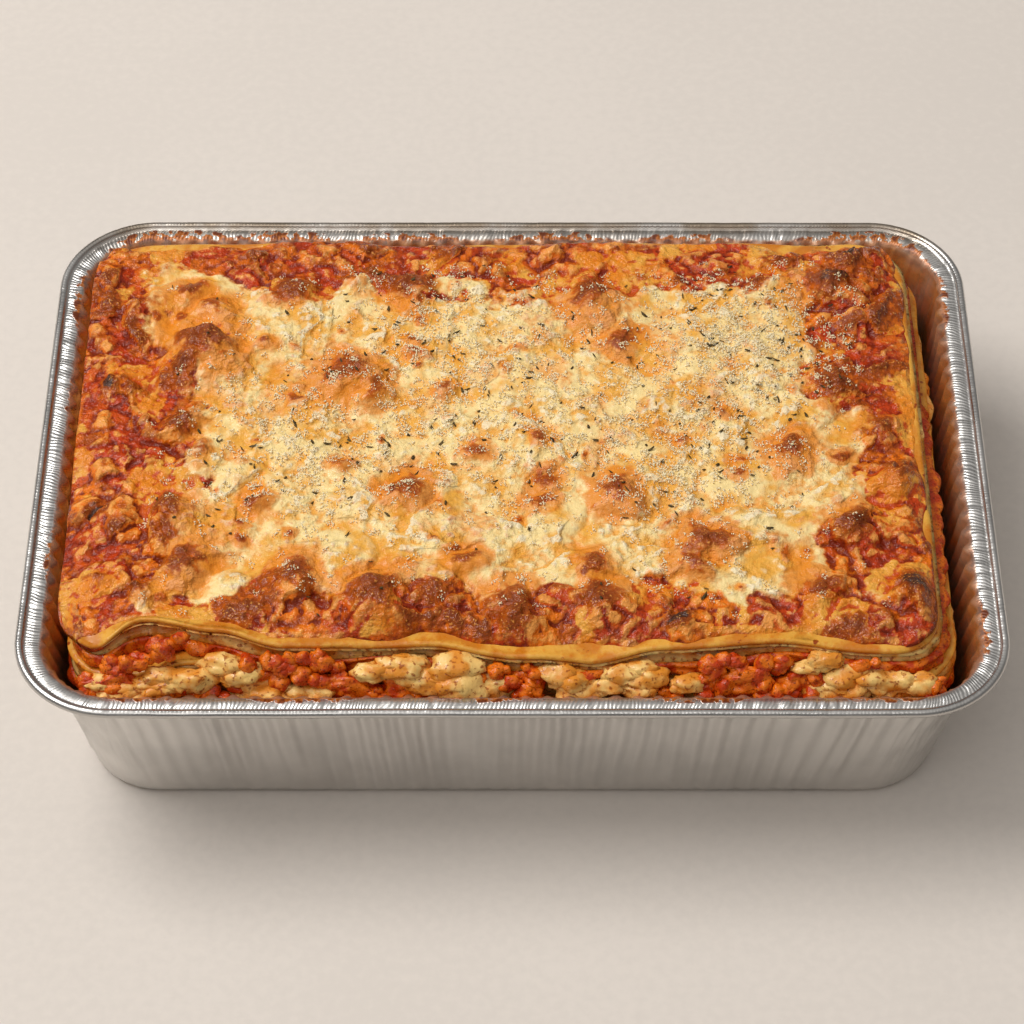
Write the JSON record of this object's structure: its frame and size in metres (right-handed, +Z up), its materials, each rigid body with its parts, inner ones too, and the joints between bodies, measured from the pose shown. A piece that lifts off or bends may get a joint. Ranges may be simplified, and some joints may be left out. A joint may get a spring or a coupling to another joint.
{
  "type": "foil tray meal",
  "caption": "Baked lasagne with a browned cheese top in a rectangular fluted foil tray with a rolled rim.",
  "frame": {"origin": "centre of the underside of the tray", "axes": "+X along the long side of the tray, +Y towards its back long side, +Z up"},
  "size_m": [0.2158, 0.1518, 0.0579],
  "materials": {
    "foil": "thin pressed foil, satin, with fine creases",
    "meat_sauce": "moist tomato and minced meat sauce",
    "pasta": "cooked pasta sheet, slightly oily",
    "white_sauce": "soft white sauce, moist",
    "baked_cheese": "melted cheese with browned bubbles, oily"
  },
  "bodies": {
    "root": {"foil_tray": "foil", "meat_sauce_lower": "meat_sauce", "pasta_sheet_lower": "pasta", "white_sauce_lower": "white_sauce", "pasta_sheet_middle": "pasta", "meat_sauce_upper": "meat_sauce", "white_sauce_upper": "white_sauce", "pasta_sheet_top": "pasta", "cheese_topping": "baked_cheese", "meat_lump_1": "meat_sauce", "meat_lump_2": "meat_sauce", "meat_lump_3": "meat_sauce", "meat_lump_4": "meat_sauce", "meat_lump_5": "meat_sauce", "meat_lump_6": "meat_sauce", "white_sauce_lump_1": "white_sauce", "white_sauce_lump_2": "white_sauce", "white_sauce_lump_3": "white_sauce"}
  },
  "joints": []
}
